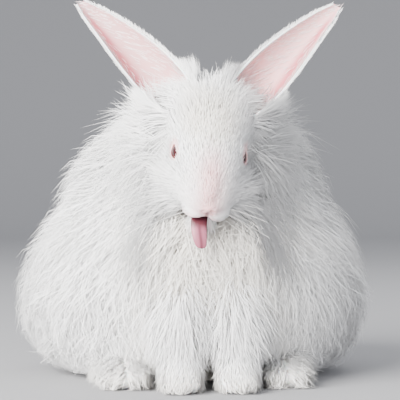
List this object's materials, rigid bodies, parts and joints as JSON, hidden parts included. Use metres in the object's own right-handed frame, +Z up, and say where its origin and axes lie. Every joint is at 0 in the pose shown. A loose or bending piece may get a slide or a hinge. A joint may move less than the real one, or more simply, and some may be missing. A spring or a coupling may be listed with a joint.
{
  "type": "angora rabbit",
  "caption": "Life-size still model of a white long-wooled rabbit sitting upright, ears spread in a V and tongue out.",
  "frame": {"origin": "on the floor, under the middle of the whole animal's box", "axes": "+Z up; the rabbit faces -Y, and +X is its own left side"},
  "size_m": [0.3096, 0.327, 0.3163],
  "materials": {
    "wool": "long soft white wool",
    "short_fur": "short dense white fur, pink about the nose",
    "ear_skin": "pink skin under thin short white fur",
    "eye": "wet dark ruby",
    "tongue": "moist rose"
  },
  "bodies": {
    "root": {"head": "short_fur", "ear_left": "ear_skin", "ear_right": "ear_skin", "eye_left": "eye", "eye_right": "eye", "tongue": "tongue", "neck": "wool", "torso": "wool", "foreleg_left": "wool", "foreleg_right": "wool", "thigh_left": "wool", "thigh_right": "wool", "hind_foot_left": "wool", "hind_foot_right": "wool", "tail": "wool"}
  },
  "joints": []
}
